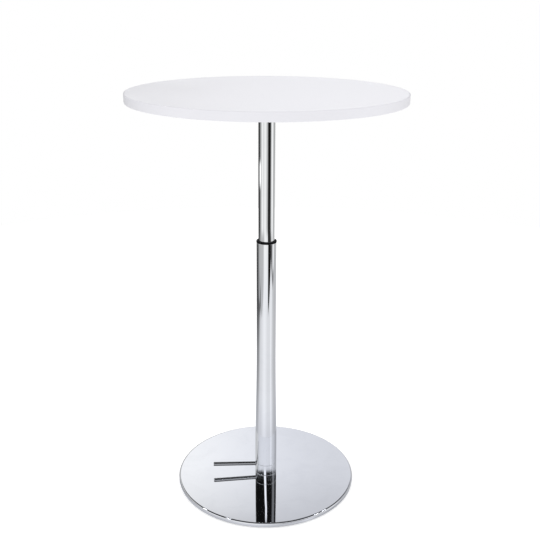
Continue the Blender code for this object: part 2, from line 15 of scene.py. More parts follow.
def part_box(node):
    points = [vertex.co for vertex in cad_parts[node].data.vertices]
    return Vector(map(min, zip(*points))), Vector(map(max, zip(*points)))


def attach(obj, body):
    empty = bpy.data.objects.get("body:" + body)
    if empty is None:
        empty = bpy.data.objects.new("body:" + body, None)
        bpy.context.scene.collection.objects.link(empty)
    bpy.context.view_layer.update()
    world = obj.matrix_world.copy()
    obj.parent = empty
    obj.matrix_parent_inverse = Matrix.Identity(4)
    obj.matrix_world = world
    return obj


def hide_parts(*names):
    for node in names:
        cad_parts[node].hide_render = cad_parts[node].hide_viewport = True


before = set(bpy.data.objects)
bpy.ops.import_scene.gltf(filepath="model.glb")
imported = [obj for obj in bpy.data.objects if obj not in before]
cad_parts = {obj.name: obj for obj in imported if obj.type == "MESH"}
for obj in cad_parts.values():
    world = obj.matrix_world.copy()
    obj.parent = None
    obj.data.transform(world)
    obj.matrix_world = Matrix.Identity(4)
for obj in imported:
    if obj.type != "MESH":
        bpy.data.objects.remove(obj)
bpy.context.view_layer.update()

# ---------------------------------------------------------------- camera
CAMERA_BEARING = math.radians(-5.0)
CAMERA_DISTANCE = 2.029
CAMERA_HEIGHT = 1.346
CAMERA_PITCH = math.radians(19.40)
CAMERA_YAW = math.radians(0.267)
CAMERA_ROLL = math.radians(0.27)
CAMERA_LENS = 53.93
CAMERA_SENSOR = 36.0

# ---------------------------------------------------------------- sizes that the CAD boxes don't give
GAP = 0.0003
BAND_THICKNESS = 0.002
BAND_RADIUS = 0.0015
BOARD_EDGE_RADIUS = 0.0002
# depth of the dark grey painted shade on the board's underside
UNDERSIDE_SHADE_THICKNESS = 0.0008
FLANGE_THICKNESS = 0.005
FLANGE_EDGE_RADIUS = 0.0012
FLANGE_SCREW_CIRCLE = 0.170
TUBE_WALL = 0.002
TUBE_EDGE_RADIUS = 0.0004
LOWER_TUBE_RADIUS = 0.0265
FLARE_BOTTOM = 0.100
FLARE_TOP = 0.400
GROOVE_BOTTOM = 0.530
GROOVE_WIDTH = 0.004
GROOVE_DEPTH = 0.0008
BUSH_FLANGE_BOTTOM = 0.7101
BUSH_EDGE_RADIUS = 0.0008
SOCKET_SHOULDER = 0.046
SOCKET_EDGE_RADIUS = 0.0008
BASE_EDGE_RADIUS = 0.0042
BASE_FOOT_RADIUS = 0.0010
GLIDE_STEM_RADIUS = 0.0037
GLIDE_EDGE_RADIUS = 0.00075
GRUB_BEARINGS = (math.radians(60.0), math.radians(120.0))
GRUB_HEIGHT = 0.057
GRUB_RADIUS = 0.003
GRUB_START = 0.015
GRUB_SINK = 0.0006
NUT_RECESS_RADIUS = 0.014
NUT_RECESS_DEPTH = 0.011
POCKET_LOW = (-0.023, -0.0075)
POCKET_HIGH = (0.008, 0.0075)
POCKET_TOP = 0.048
SLOT_HALF_WIDTH = 0.0060
ROD_SEAT = 0.050
ROD_SEAT_LEDGE = 0.003
PIN_HOLE_RADIUS = 0.0023
STUD_RADIUS = 0.005
PIVOT = Vector((-0.011, 0.0, 0.037903))
PIVOT_HOLE_FRONT = 0.019
LEVER_RADIUS = 0.0055
LEVER_TIP_RADIUS = 0.002
LEVER_TILT = math.radians(1.8)
LEVER_TRAVEL = math.radians(8.0)
LEVER_REACH = 0.151
LEVER_SHOULDER = 0.0111
LEVER_SPIGOT_RADIUS = 0.003
LEVER_SPIGOT_LENGTH = 0.0071
FLANGE_SCREW = {"shank": 0.0022, "head": 0.0046, "length": 0.017}
BASE_SCREW = {"shank": 0.004, "head": 0.008, "length": 0.025}
BASE_SCREW_CIRCLE = 0.038
SCREW_SOCKET_FLATS = 1.25
SCREW_SOCKET_DEPTH = 0.7

DISC_SEGMENTS = 288
TUBE_SEGMENTS = 144
SMALL_SEGMENTS = 48
FILLET_STEPS = 5
FINE_FILLET_STEPS = 8
FLARE_STEPS = 40
SLOT_STEPS = 24
SHARP_ANGLE = math.radians(40.0)


# ---------------------------------------------------------------- node helpers
class Graph:
    """A node tree written as expressions: each method adds a node and returns its output."""

    def __init__(self, tree):
        self.tree = tree

    def add(self, kind, inputs=(), output=0, **settings):
        node = self.tree.nodes.new(kind)
        for name, value in settings.items():
            setattr(node, name, value)
        for key, value in dict(inputs).items():
            self.set(node.inputs[key], value)
        return node.outputs[output]

    def set(self, socket, value):
        if isinstance(value, bpy.types.NodeSocket):
            self.tree.links.new(value, socket)
        else:
            socket.default_value = value

    def math(self, operation, *values):
        return self.add("ShaderNodeMath", enumerate(values), operation=operation)

    def dot(self, first, second):
        inputs = {0: first, 1: second}
        return self.add("ShaderNodeVectorMath", inputs, "Value", operation="DOT_PRODUCT")

    def times(self, first, *others):
        for other in others:
            first = self.math("MULTIPLY", first, other)
        return first

    def step(self, value, low, high, before, after):
        """before at low, after at high and a soft step between them."""
        inputs = {"Value": value, "From Min": low, "From Max": high, "To Min": before, "To Max": after}
        return self.add("ShaderNodeMapRange", inputs, interpolation_type="SMOOTHSTEP")

    def smooth(self, value, low, high):
        return self.step(value, low, high, 0.0, 1.0)

    def span(self, value, low, high, new_low=0.0, new_high=1.0):
        """A straight slope from new_low at low to new_high at high."""
        inputs = {"Value": value, "From Min": low, "From Max": high, "To Min": new_low, "To Max": new_high}
        return self.add("ShaderNodeMapRange", inputs)

    def between(self, value, low, high, soft):
        """1 between low and high, falling to 0 over the soft width at both ends."""
        rise = self.smooth(value, low - soft, low + soft)
        fall = self.smooth(value, high + soft, high - soft)
        return self.times(rise, fall)

    def mix(self, factor, first, second):
        return self.add("ShaderNodeMix", {0: factor, 2: first, 3: second})

    def mix_colour(self, factor, first, second):
        return self.add("ShaderNodeMix", {0: factor, 6: first, 7: second}, 2, data_type="RGBA")

    def ramp(self, value, low, high, stops):
        """A soft curve through (position, level) stops."""
        node = self.tree.nodes.new("ShaderNodeValToRGB")
        self.tree.links.new(self.span(value, low, high), node.inputs[0])
        node.color_ramp.interpolation = "EASE"
        elements = node.color_ramp.elements
        while len(elements) < len(stops):
            elements.new(0.5)
        for element, (position, level) in zip(elements, stops):
            element.position = (position - low) / (high - low)
            element.color = (level, level, level, 1.0)
        return node.outputs[0]

    def noise(self, vector, scale, detail=2.0, roughness=0.5, distortion=0.0):
        inputs = {"Vector": vector, "Scale": scale, "Detail": detail, "Roughness": roughness}
        inputs["Distortion"] = distortion
        return self.add("ShaderNodeTexNoise", inputs)

    def stretched(self, vector, scale):
        return self.add("ShaderNodeMapping", {"Vector": vector, "Scale": scale})

    def bump(self, height, distance, normal=None):
        inputs = {"Height": height, "Distance": distance, "Strength": 1.0}
        if normal is not None:
            inputs["Normal"] = normal
        return self.add("ShaderNodeBump", inputs)


def rgb(red, green, blue):
    return (red, green, blue, 1.0)


def new_material(name, metallic=0.0, specular=0.5):
    """A Principled material: its graph, its shader and the object's own coordinates."""
    material = bpy.data.materials.new(name)
    material.use_nodes = True
    graph = Graph(material.node_tree)
    shader = material.node_tree.nodes["Principled BSDF"]
    shader.inputs["Metallic"].default_value = metallic
    shader.inputs["Specular IOR Level"].default_value = specular
    place = graph.add("ShaderNodeTexCoord", output="Object")
    return material, graph, shader, place


# ---------------------------------------------------------------- materials
def laminate_material():
    """High-pressure laminate: cool white, pearl grain and a faint haze where it is wiped.

    The board's underside is coloured dark grey as painted shade, for the shade under the top that the chrome
    reflects."""
    material, graph, shader, place = new_material("looks_white_laminate", specular=0.12)
    mottle = graph.noise(place, 900.0, 3.0)
    haze = graph.noise(place, 5.0, 3.0, 0.6)
    tone = graph.mix(0.35, mottle, haze)
    white = graph.mix_colour(tone, rgb(0.845, 0.845, 0.88), rgb(0.88, 0.875, 0.905))
    # painted shade: the board's underside is coloured dark grey for the shade beneath the top
    painted_underside_shade = graph.mix_colour(mottle, rgb(0.10, 0.10, 0.102), rgb(0.17, 0.17, 0.172))
    height = graph.add("ShaderNodeSeparateXYZ", {0: place}, "Z")
    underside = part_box("tabletop_board")[0].z
    below = graph.smooth(height, underside + UNDERSIDE_SHADE_THICKNESS, underside + UNDERSIDE_SHADE_THICKNESS / 2)
    graph.set(shader.inputs["Base Color"], graph.mix_colour(below, white, painted_underside_shade))
    graph.set(shader.inputs["Roughness"], graph.span(haze, 0.3, 0.7, 0.34, 0.46))
    grain = graph.noise(place, 1400.0, 2.0)
    pearl = graph.noise(place, 420.0, 1.0)
    height = graph.math("ADD", grain, pearl)
    graph.set(shader.inputs["Normal"], graph.bump(height, 0.000008))
    return material


def edge_material():
    """Extruded ABS edge band: a touch glossier than the top, with fine lines along its length."""
    material, graph, shader, place = new_material("looks_white_edge")
    lines = graph.noise(graph.stretched(place, (14.0, 14.0, 2600.0)), 1.0, 2.0)
    clouds = graph.noise(place, 9.0, 3.0)
    colour = graph.mix_colour(clouds, rgb(0.735, 0.735, 0.77), rgb(0.77, 0.765, 0.80))
    graph.set(shader.inputs["Base Color"], colour)
    graph.set(shader.inputs["Roughness"], graph.span(lines, 0.3, 0.7, 0.30, 0.42))
    graph.set(shader.inputs["Normal"], graph.bump(lines, 0.000006))
    return material


def chrome_material(name, polish_scale, ripple, wear=0.0, bright=1.0):
    """Mirror chrome: slow waves of the buffed steel below, hairline polish marks and smudges.

    polish_scale stretches the hairlines, ripple is the waves' height and wear adds scuffs. The last argument
    scales the colour down: painted shade that stands in for dark surroundings seen in the reflection."""
    material, graph, shader, place = new_material(name, metallic=1.0)
    smudge = graph.smooth(graph.noise(place, 16.0, 4.0, 0.62, 0.6), 0.42, 0.72)
    hairlines = graph.noise(graph.stretched(place, polish_scale), 1.0, 3.0, 0.7)
    clean = rgb(0.885 * bright, 0.893 * bright, 0.905 * bright)
    smudged = rgb(0.86 * bright, 0.868 * bright, 0.882 * bright)
    colour = graph.mix_colour(smudge, clean, smudged)
    graph.set(shader.inputs["Base Color"], colour)
    roughness = graph.span(smudge, 0.0, 1.0, 0.016, 0.045)
    roughness = graph.math("ADD", roughness, graph.span(hairlines, 0.35, 0.75, 0.0, 0.014))
    if wear:
        scuffs = graph.smooth(graph.noise(place, 380.0, 5.0, 0.7), 0.55, 0.70)
        roughness = graph.math("ADD", roughness, graph.times(scuffs, wear))
    graph.set(shader.inputs["Roughness"], roughness)
    waves = graph.bump(graph.noise(place, 9.0, 1.0), ripple)
    graph.set(shader.inputs["Normal"], graph.bump(hairlines, 0.0000004, waves))
    return material


def plastic_material():
    """Black injection-moulded nylon: fine spark-eroded texture with duller patches."""
    material, graph, shader, place = new_material("looks_black_plastic", specular=0.06)
    texture = graph.noise(place, 2400.0, 3.0, 0.6)
    patches = graph.noise(place, 60.0, 3.0)
    colour = graph.mix_colour(patches, rgb(0.001, 0.001, 0.0012), rgb(0.003, 0.003, 0.0034))
    graph.set(shader.inputs["Base Color"], colour)
    graph.set(shader.inputs["Roughness"], graph.span(patches, 0.3, 0.7, 0.38, 0.52))
    graph.set(shader.inputs["Normal"], graph.bump(texture, 0.000018))
    return material


def powder_material():
    """Black powder coat: orange-peel skin and a slightly uneven gloss."""
    material, graph, shader, place = new_material("looks_black_powder")
    peel = graph.noise(place, 850.0, 2.0, 0.55)
    patches = graph.noise(place, 30.0, 3.0)
    colour = graph.mix_colour(patches, rgb(0.014, 0.014, 0.015), rgb(0.028, 0.028, 0.029))
    graph.set(shader.inputs["Base Color"], colour)
    graph.set(shader.inputs["Roughness"], graph.span(patches, 0.3, 0.7, 0.42, 0.56))
    graph.set(shader.inputs["Normal"], graph.bump(peel, 0.00004))
    return material


def zinc_material():
    """Bright zinc-plated steel: small crystals, a faint blue to straw tint and dull spots."""
    material, graph, shader, place = new_material("looks_zinc_steel", metallic=1.0)
    crystals = graph.add("ShaderNodeTexVoronoi", {"Vector": place, "Scale": 700.0}, "Color")
    tone = graph.dot(crystals, (0.33, 0.33, 0.34))
    tint = graph.noise(place, 120.0, 2.0)
    cold = graph.mix_colour(tone, rgb(0.52, 0.54, 0.58), rgb(0.66, 0.67, 0.70))
    warm = graph.mix_colour(tone, rgb(0.56, 0.54, 0.48), rgb(0.70, 0.68, 0.62))
    graph.set(shader.inputs["Base Color"], graph.mix_colour(tint, cold, warm))
    graph.set(shader.inputs["Roughness"], graph.span(tone, 0.2, 0.8, 0.26, 0.44))
    graph.set(shader.inputs["Normal"], graph.bump(graph.noise(place, 1800.0, 2.0), 0.000006))
    return material


def make_materials():
    return {
        "laminate": laminate_material(),
        "edge": edge_material(),
        "tube": chrome_material("looks_chrome_tube", (900.0, 900.0, 14.0), 0.000012),
        "plate": chrome_material("looks_chrome_plate", (60.0, 900.0, 900.0), 0.000020),
        # the lever's chrome is scaled to 0.46 of its colour: painted shade for the dark surroundings it
        # reflects
        "lever": chrome_material("looks_chrome_lever_painted_shade", (30.0, 1200.0, 1200.0), 0.000004, 0.05, 0.46),
        "plastic": plastic_material(),
        "black_steel": powder_material(),
        "zinc": zinc_material(),
    }


# ---------------------------------------------------------------- mesh helpers
def rounded(corners, steps=FILLET_STEPS):
    """Closed outline from (radius, height, fillet) corners, each fillet drawn as an arc."""
    outline = []
    for i, (radius, height, fillet) in enumerate(corners):
        point = Vector((radius, height))
        if fillet == 0.0:
            outline.append(point)
            continue
        before = (Vector(corners[i - 1][:2]) - point).normalized()
        after = (Vector(corners[(i + 1) % len(corners)][:2]) - point).normalized()
        half = before.angle(after) / 2
        centre = point + (before + after).normalized() * (fillet / math.sin(half))
        start = point + before * (fillet / math.tan(half)) - centre
        end = point + after * (fillet / math.tan(half)) - centre
        for step in range(steps + 1):
            direction = start.slerp(end, step / steps)
            outline.append(centre + direction.normalized() * fillet)
    return outline


def turned(outline, segments):
    """Turn a closed outline of (radius, height) points about the Z axis."""
    mesh_data = bmesh.new()
    rings = []
    for radius, height in outline:
        count = 1 if radius < 1e-7 else segments
        ring = []
        for i in range(count):
            angle = math.tau * i / segments
            ring.append(mesh_data.verts.new((radius * math.cos(angle), radius * math.sin(angle), height)))
        rings.append(ring)
    for i, ring in enumerate(rings):
        join_rings(mesh_data, rings[i - 1], ring, segments)
    bmesh.ops.recalc_face_normals(mesh_data, faces=mesh_data.faces)
    return mesh_data


def join_rings(mesh_data, lower, upper, segments):
    """Faces between two neighbouring rings, either of which may be a single point on the axis."""
    if len(lower) == 1 and len(upper) == 1:
        return
    for i in range(segments):
        following = (i + 1) % segments
        corners = [lower[i % len(lower)], lower[following % len(lower)]]
        corners += [upper[following % len(upper)], upper[i % len(upper)]]
        mesh_data.faces.new(list(dict.fromkeys(corners)))


def prism(outline, low, high):
    """Extrude a flat outline of (x, y) points from one height to another."""
    mesh_data = bmesh.new()
    face = mesh_data.faces.new([mesh_data.verts.new((x, y, low)) for x, y in outline])
    extruded = bmesh.ops.extrude_face_region(mesh_data, geom=[face])["geom"]
    lifted = [item for item in extruded if isinstance(item, bmesh.types.BMVert)]
    bmesh.ops.translate(mesh_data, verts=lifted, vec=(0, 0, high - low))
    bmesh.ops.recalc_face_normals(mesh_data, faces=mesh_data.faces)
    return mesh_data


def hexagon(across_flats):
    corner = across_flats / 2 / math.cos(math.pi / 6)
    return [(corner * math.cos(math.tau * i / 6), corner * math.sin(math.tau * i / 6)) for i in range(6)]


def placed(mesh_data, matrix):
    bmesh.ops.transform(mesh_data, matrix=matrix, verts=mesh_data.verts)
    return mesh_data


def shift(x, y, z):
    return Matrix.Translation((x, y, z))


def on_circle(diameter, count, phase=0.0):
    bearings = [phase + math.tau * i / count for i in range(count)]
    return [(diameter / 2 * math.cos(angle), diameter / 2 * math.sin(angle)) for angle in bearings]


def along_radius(bearing, height):
    """Lay a shape made on the Z axis along a level radius at a bearing from +X."""
    return shift(0, 0, height) @ Matrix.Rotation(bearing, 4, "Z") @ Matrix.Rotation(math.pi / 2, 4, "Y")


def to_object(name, mesh_data, material=None):
    mesh = bpy.data.meshes.new(name)
    mesh_data.to_mesh(mesh)
    mesh_data.free()
    if material is not None:
        mesh.materials.append(material)
    made = bpy.data.objects.new(name, mesh)
    bpy.context.scene.collection.objects.link(made)
    return made


def finished(made, cutters=()):
    """Take the cutters' shapes out of the mesh, then set smooth shading with true flats."""
    tools = [to_object(f"cutter_{i}", cutter) for i, cutter in enumerate(cutters)]
    for tool in tools:
        cut = made.modifiers.new("cut", "BOOLEAN")
        cut.operation = "DIFFERENCE"
        cut.solver = "EXACT"
        cut.object = tool
    made.modifiers.new("flats", "WEIGHTED_NORMAL").keep_sharp = True
    made.data.shade_smooth()
    made.data.set_sharp_from_angle(angle=SHARP_ANGLE)
    graph = bpy.context.evaluated_depsgraph_get()
    result = bpy.data.meshes.new_from_object(made.evaluated_get(graph), depsgraph=graph)
    made.modifiers.clear()
    made.data = result
    for tool in tools:
        bpy.data.objects.remove(tool, do_unlink=True)
    return made


def piece(name, mesh_data, material, body, node, cutters=()):
    """One visible piece that stands for a CAD node and rides on its body."""
    made = finished(to_object(name, mesh_data, material), cutters)
    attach(made, body)
    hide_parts(node)
    return made


def copy_of(first, name, place, body, node):
    made = bpy.data.objects.new(name, first.data)
    bpy.context.scene.collection.objects.link(made)
    made.location = place
    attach(made, body)
    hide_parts(node)
    return made


# ---------------------------------------------------------------- screws
def screw_outline(size, grow=0.0):
    """Countersunk screw with its head's face at height 0 and its point upwards."""
    cone = size["head"] - size["shank"]
    head = size["head"] + grow
    shank = size["shank"] + grow
    end = size["length"] + grow
    return [(0.0, -grow), (head, -grow), (head, 0.0), (shank, cone), (shank, end), (0.0, end)]


def screw_mesh(size):
    outline = screw_outline(size)
    del outline[1]
    return turned(outline, SMALL_SEGMENTS)


def screw_socket(size):
    depth = SCREW_SOCKET_DEPTH * (size["head"] - size["shank"])
    return prism(hexagon(SCREW_SOCKET_FLATS * size["shank"]), -GAP, depth)


def screw_hole(size, place, height):
    return placed(turned(screw_outline(size, GAP), SMALL_SEGMENTS), shift(*place, height))


def screws(prefix, nodes, size, places, height, material, body):
    """One screw mesh, placed once for each CAD screw."""
    first = None
    for node, place in zip(nodes, places):
        name = node.replace("screw", prefix)
        if first is None:
            first = finished(to_object("screw_shape", screw_mesh(size), material), [screw_socket(size)])
        copy_of(first, name, (*place, height), body, node)
    bpy.data.objects.remove(first, do_unlink=True)


# ---------------------------------------------------------------- top
def make_top(materials):
    low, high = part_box("tabletop_board")
    flange_low, flange_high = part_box("top_flange")
    flange_face = flange_high.z - FLANGE_THICKNESS
    places = on_circle(FLANGE_SCREW_CIRCLE, 6)
    soft = BOARD_EDGE_RADIUS
    board = rounded([(0, low.z, 0), (high.x, low.z, soft), (high.x, high.z, soft), (0, high.z, 0)])
    recess = turned(
        [(0, low.z - GAP), (NUT_RECESS_RADIUS, low.z - GAP),
         (NUT_RECESS_RADIUS, low.z + NUT_RECESS_DEPTH), (0, low.z + NUT_RECESS_DEPTH)], SMALL_SEGMENTS,
    )
    holes = [screw_hole(FLANGE_SCREW, place, flange_face) for place in places]
    piece(
        "tabletop_panel", turned(board, DISC_SEGMENTS), materials["laminate"],
        "top", "tabletop_board", [recess, *holes],
    )

    low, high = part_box("edge_band")
    inner = high.x - BAND_THICKNESS
    band = rounded([
        (inner, low.z, soft), (high.x, low.z, BAND_RADIUS),
        (high.x, high.z, BAND_RADIUS), (inner, high.z, soft),
    ])
    piece("tabletop_rim", turned(band, DISC_SEGMENTS), materials["edge"], "top", "edge_band")


def make_flange(materials):
    """Mounting flange whose spigot reaches down inside the inner tube."""
    low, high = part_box("top_flange")
    face = high.z - FLANGE_THICKNESS
    bore = STUD_RADIUS + GAP
    spigot_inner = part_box("gas_cylinder")[1].x + GAP
    spigot_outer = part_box("inner_tube")[1].x - TUBE_WALL - GAP
    edge = FLANGE_EDGE_RADIUS
    outline = rounded([
        (bore, face, 0), (spigot_inner, face, 0), (spigot_inner, low.z, GAP),
        (spigot_outer, low.z, GAP), (spigot_outer, face, 0), (high.x, face, edge),
        (high.x, high.z, GAP), (bore, high.z, 0),
    ])
    places = on_circle(FLANGE_SCREW_CIRCLE, 6)
    holes = [screw_hole(FLANGE_SCREW, place, face) for place in places]
    piece(
        "flange_plate", turned(outline, TUBE_SEGMENTS), materials["black_steel"],
        "top", "top_flange", holes,
    )
    nodes = [f"flange_screw_{i}" for i in range(1, 7)]
    screws("fixing", nodes, FLANGE_SCREW, places, face, materials["zinc"], "top")


# ---------------------------------------------------------------- column
def make_upper_tube(materials):
    low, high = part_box("inner_tube")
    outer = high.x
    bore = outer - TUBE_WALL
    edge = TUBE_EDGE_RADIUS
    groove_top = GROOVE_BOTTOM + GROOVE_WIDTH
    outline = rounded([
        (bore, low.z, 0), (outer, low.z, edge), (outer, GROOVE_BOTTOM, 0),
        (outer - GROOVE_DEPTH, GROOVE_BOTTOM, 0), (outer - GROOVE_DEPTH, groove_top, 0),
        (outer, groove_top, 0), (outer, high.z, GAP), (bore, high.z, 0),
    ])
    piece(
        "column_upper_tube", turned(outline, TUBE_SEGMENTS), materials["tube"],
        "top", "inner_tube",
    )


def flare(foot):
    """Outside of the lower tube: an S-curve from the wide foot up to the slim tube."""
    corners = []
    for step in range(FLARE_STEPS + 1):
        rise = step / FLARE_STEPS
        slimmed = rise * rise * (3 - 2 * rise)
        height = FLARE_BOTTOM + (FLARE_TOP - FLARE_BOTTOM) * rise
        corners.append((foot + (LOWER_TUBE_RADIUS - foot) * slimmed, height, 0))
    return corners


def make_lower_tube(materials):
    low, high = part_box("outer_tube")
    foot = high.x
    bore = LOWER_TUBE_RADIUS - TUBE_WALL
    edge = TUBE_EDGE_RADIUS
    outline = rounded([
        (bore, low.z, GAP), (foot, low.z, edge), *flare(foot),
        (LOWER_TUBE_RADIUS, high.z, edge), (bore, high.z, GAP),
    ])
    holes = [grub_hole(bearing, foot) for bearing in GRUB_BEARINGS]
    piece(
        "column_lower_tube", turned(outline, TUBE_SEGMENTS), materials["tube"],
        "stand", "outer_tube", holes,
    )

    low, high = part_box("guide_bush")
    guide_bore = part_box("inner_tube")[1].x + GAP
    sleeve = bore - GAP
    edge = BUSH_EDGE_RADIUS
    outline = rounded([
        (guide_bore, low.z, GAP), (sleeve, low.z, GAP), (sleeve, BUSH_FLANGE_BOTTOM, 0),
        (high.x, BUSH_FLANGE_BOTTOM, edge / 2), (high.x, high.z, edge), (guide_bore, high.z, GAP),
    ])
    piece(
        "column_collar", turned(outline, TUBE_SEGMENTS), materials["plastic"],
        "stand", "guide_bush",
    )


def grub_hole(bearing, reach):
    radius = GRUB_RADIUS + GAP
    start = GRUB_START - GAP
    end = reach + GAP
    hole = turned([(0, start), (radius, start), (radius, end), (0, end)], SMALL_SEGMENTS)
    return placed(hole, along_radius(bearing, GRUB_HEIGHT))


def lever_slot(outer):
    """Upright slot through the socket's wall, round at its foot and open at the shoulder."""
    foot = PIVOT.z - math.tan(LEVER_TRAVEL - LEVER_TILT) * (outer + PIVOT.x)
    outline = []
    for step in range(SLOT_STEPS + 1):
        angle = math.pi + math.pi * step / SLOT_STEPS
        across = SLOT_HALF_WIDTH * math.cos(angle)
        outline.append((across, foot + SLOT_HALF_WIDTH * math.sin(angle)))
    top = SOCKET_SHOULDER + GAP
    outline += [(SLOT_HALF_WIDTH, top), (-SLOT_HALF_WIDTH, top)]
    swap = Matrix(((0, 0, 1, 0), (1, 0, 0, 0), (0, 1, 0, 0), (0, 0, 0, 1)))
    return placed(prism(outline, -outer - GAP, POCKET_LOW[0] + GAP), swap)


def make_socket(materials):
    """Foot of the column, with the lever's slot and pocket, the rod's seat and the screw holes."""
    low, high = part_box("foot_socket")
    base_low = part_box("base_plate")[0]
    outer = high.x
    spigot = LOWER_TUBE_RADIUS - TUBE_WALL - GAP
    outline = rounded([
        (0, low.z, 0), (outer, low.z, SOCKET_EDGE_RADIUS), (outer, SOCKET_SHOULDER, TUBE_EDGE_RADIUS),
        (spigot, SOCKET_SHOULDER, 0), (spigot, high.z, GAP), (0, high.z, 0),
    ])
    pocket = [
        (POCKET_LOW[0], POCKET_LOW[1]), (POCKET_HIGH[0], POCKET_LOW[1]),
        (POCKET_HIGH[0], POCKET_HIGH[1]), (POCKET_LOW[0], POCKET_HIGH[1]),
    ]
    ledge = ROD_SEAT - ROD_SEAT_LEDGE
    rod_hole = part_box("piston_rod")[1].x + GAP
    seat = [
        (0, ledge), (PIN_HOLE_RADIUS, ledge), (PIN_HOLE_RADIUS, ROD_SEAT),
        (rod_hole, ROD_SEAT), (rod_hole, high.z + GAP), (0, high.z + GAP),
    ]
    across = shift(PIVOT.x, 0, PIVOT.z) @ Matrix.Rotation(-math.pi / 2, 4, "X")
    end = outer + GAP
    pivot = [
        (0, -PIVOT_HOLE_FRONT), (PIN_HOLE_RADIUS, -PIVOT_HOLE_FRONT),
        (PIN_HOLE_RADIUS, end), (0, end),
    ]
    cutters = [
        prism(pocket, low.z - GAP, POCKET_TOP), lever_slot(outer),
        turned(seat, SMALL_SEGMENTS), placed(turned(pivot, SMALL_SEGMENTS), across),
    ]
    cutters += [grub_hole(bearing, outer) for bearing in GRUB_BEARINGS]
    places = on_circle(BASE_SCREW_CIRCLE, 4, math.pi / 4)
    cutters += [screw_hole(BASE_SCREW, place, base_low.z) for place in places]
    piece(
        "column_foot", turned(outline, TUBE_SEGMENTS), materials["tube"],
        "stand", "foot_socket", cutters,
    )
    for number, bearing in enumerate(GRUB_BEARINGS, 1):
        grub_screw(f"column_grub_{number}", f"socket_grub_screw_{number}", bearing, outer, materials)


def grub_screw(name, node, bearing, outer, materials):
    end = outer - GRUB_SINK
    outline = rounded([
        (0, GRUB_START, 0), (GRUB_RADIUS, GRUB_START, GAP), (GRUB_RADIUS, end, GAP), (0, end, 0),
    ])
    place = along_radius(bearing, GRUB_HEIGHT)
    drive = prism(hexagon(GRUB_RADIUS), (GRUB_START + end) / 2, end + GAP)
    piece(
        name, placed(turned(outline, SMALL_SEGMENTS), place), materials["black_steel"],
        "stand", node, [placed(drive, place)],
    )


# ---------------------------------------------------------------- base and lever
def make_base(materials):
    """Polished disc with a softly rounded rim, drilled from below for its screws and glides."""
    low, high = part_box("base_plate")
    corners = [
        (0, low.z, 0), (high.x, low.z, BASE_FOOT_RADIUS), (high.x, high.z, BASE_EDGE_RADIUS), (0, high.z, 0),
    ]
    outline = rounded(corners, FINE_FILLET_STEPS)
    screw_places = on_circle(BASE_SCREW_CIRCLE, 4, math.pi / 4)
    cutters = [screw_hole(BASE_SCREW, place, low.z) for place in screw_places]
    glide_low, glide_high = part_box("glide_1")
    glide_radius = (glide_high.y - glide_low.y) / 2
    glide_places = on_circle(2 * (glide_high.x - glide_radius), 6)
    hole_radius = GLIDE_STEM_RADIUS + GAP
    hole_top = glide_high.z + GAP
    for place in glide_places:
        hole = turned(
            [(0, low.z - GAP), (hole_radius, low.z - GAP), (hole_radius, hole_top), (0, hole_top)],
            SMALL_SEGMENTS,
        )
        cutters.append(placed(hole, shift(*place, 0)))
    piece(
        "base_disc", turned(outline, DISC_SEGMENTS), materials["plate"],
        "stand", "base_plate", cutters,
    )
    nodes = [f"base_screw_{i}" for i in range(1, 5)]
    screws("bolt", nodes, BASE_SCREW, screw_places, low.z, materials["zinc"], "stand")

    pad_top = low.z - GAP
    outline = rounded([
        (0, 0, 0), (glide_radius, 0, GLIDE_EDGE_RADIUS), (glide_radius, pad_top, GAP),
        (GLIDE_STEM_RADIUS, pad_top, 0), (GLIDE_STEM_RADIUS, glide_high.z, GAP), (0, glide_high.z, 0),
    ])
    first = finished(to_object("glide_shape", turned(outline, SMALL_SEGMENTS), materials["plastic"]))
    for number, place in enumerate(glide_places, 1):
        copy_of(first, f"foot_glide_{number}", (*place, 0), "stand", f"glide_{number}")
    bpy.data.objects.remove(first, do_unlink=True)


def make_lever(materials):
    """Round foot lever, drawn level about its pivot and then tilted up to its tip."""
    tip = (LEVER_REACH + PIVOT.x) / math.cos(LEVER_TILT)
    spigot_end = LEVER_SHOULDER - LEVER_SPIGOT_LENGTH
    outline = rounded([
        (0, spigot_end, 0), (LEVER_SPIGOT_RADIUS, spigot_end, GAP), (LEVER_SPIGOT_RADIUS, LEVER_SHOULDER, 0),
        (LEVER_RADIUS, LEVER_SHOULDER, GAP), (LEVER_RADIUS, tip, LEVER_TIP_RADIUS), (0, tip, 0),
    ], FINE_FILLET_STEPS)
    tilted = Matrix.Translation(PIVOT) @ Matrix.Rotation(LEVER_TILT, 4, "Y")
    outwards = Matrix.Rotation(-math.pi / 2, 4, "Y")
    piece(
        "foot_lever", placed(turned(outline, SMALL_SEGMENTS), tilted @ outwards), materials["lever"],
        "lever", "lever_rod",
    )


# ---------------------------------------------------------------- CAD nodes that stay
def dress_cad_nodes(materials):
    """The inner works keep their CAD shape and get the full materials."""
    dressed = {
        "plastic": ("lower_guide", "rod_gland"),
        "black_steel": ("gas_cylinder",),
        "tube": ("piston_rod",),
        "zinc": (
            "gas_piston", "release_pin", "rod_locknut", "cylinder_washer", "cylinder_nut",
            "lever_hub", "lever_pivot_pin",
        ),
    }
    for key, names in dressed.items():
        for name in names:
            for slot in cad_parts[name].material_slots:
                slot.material = materials[key]


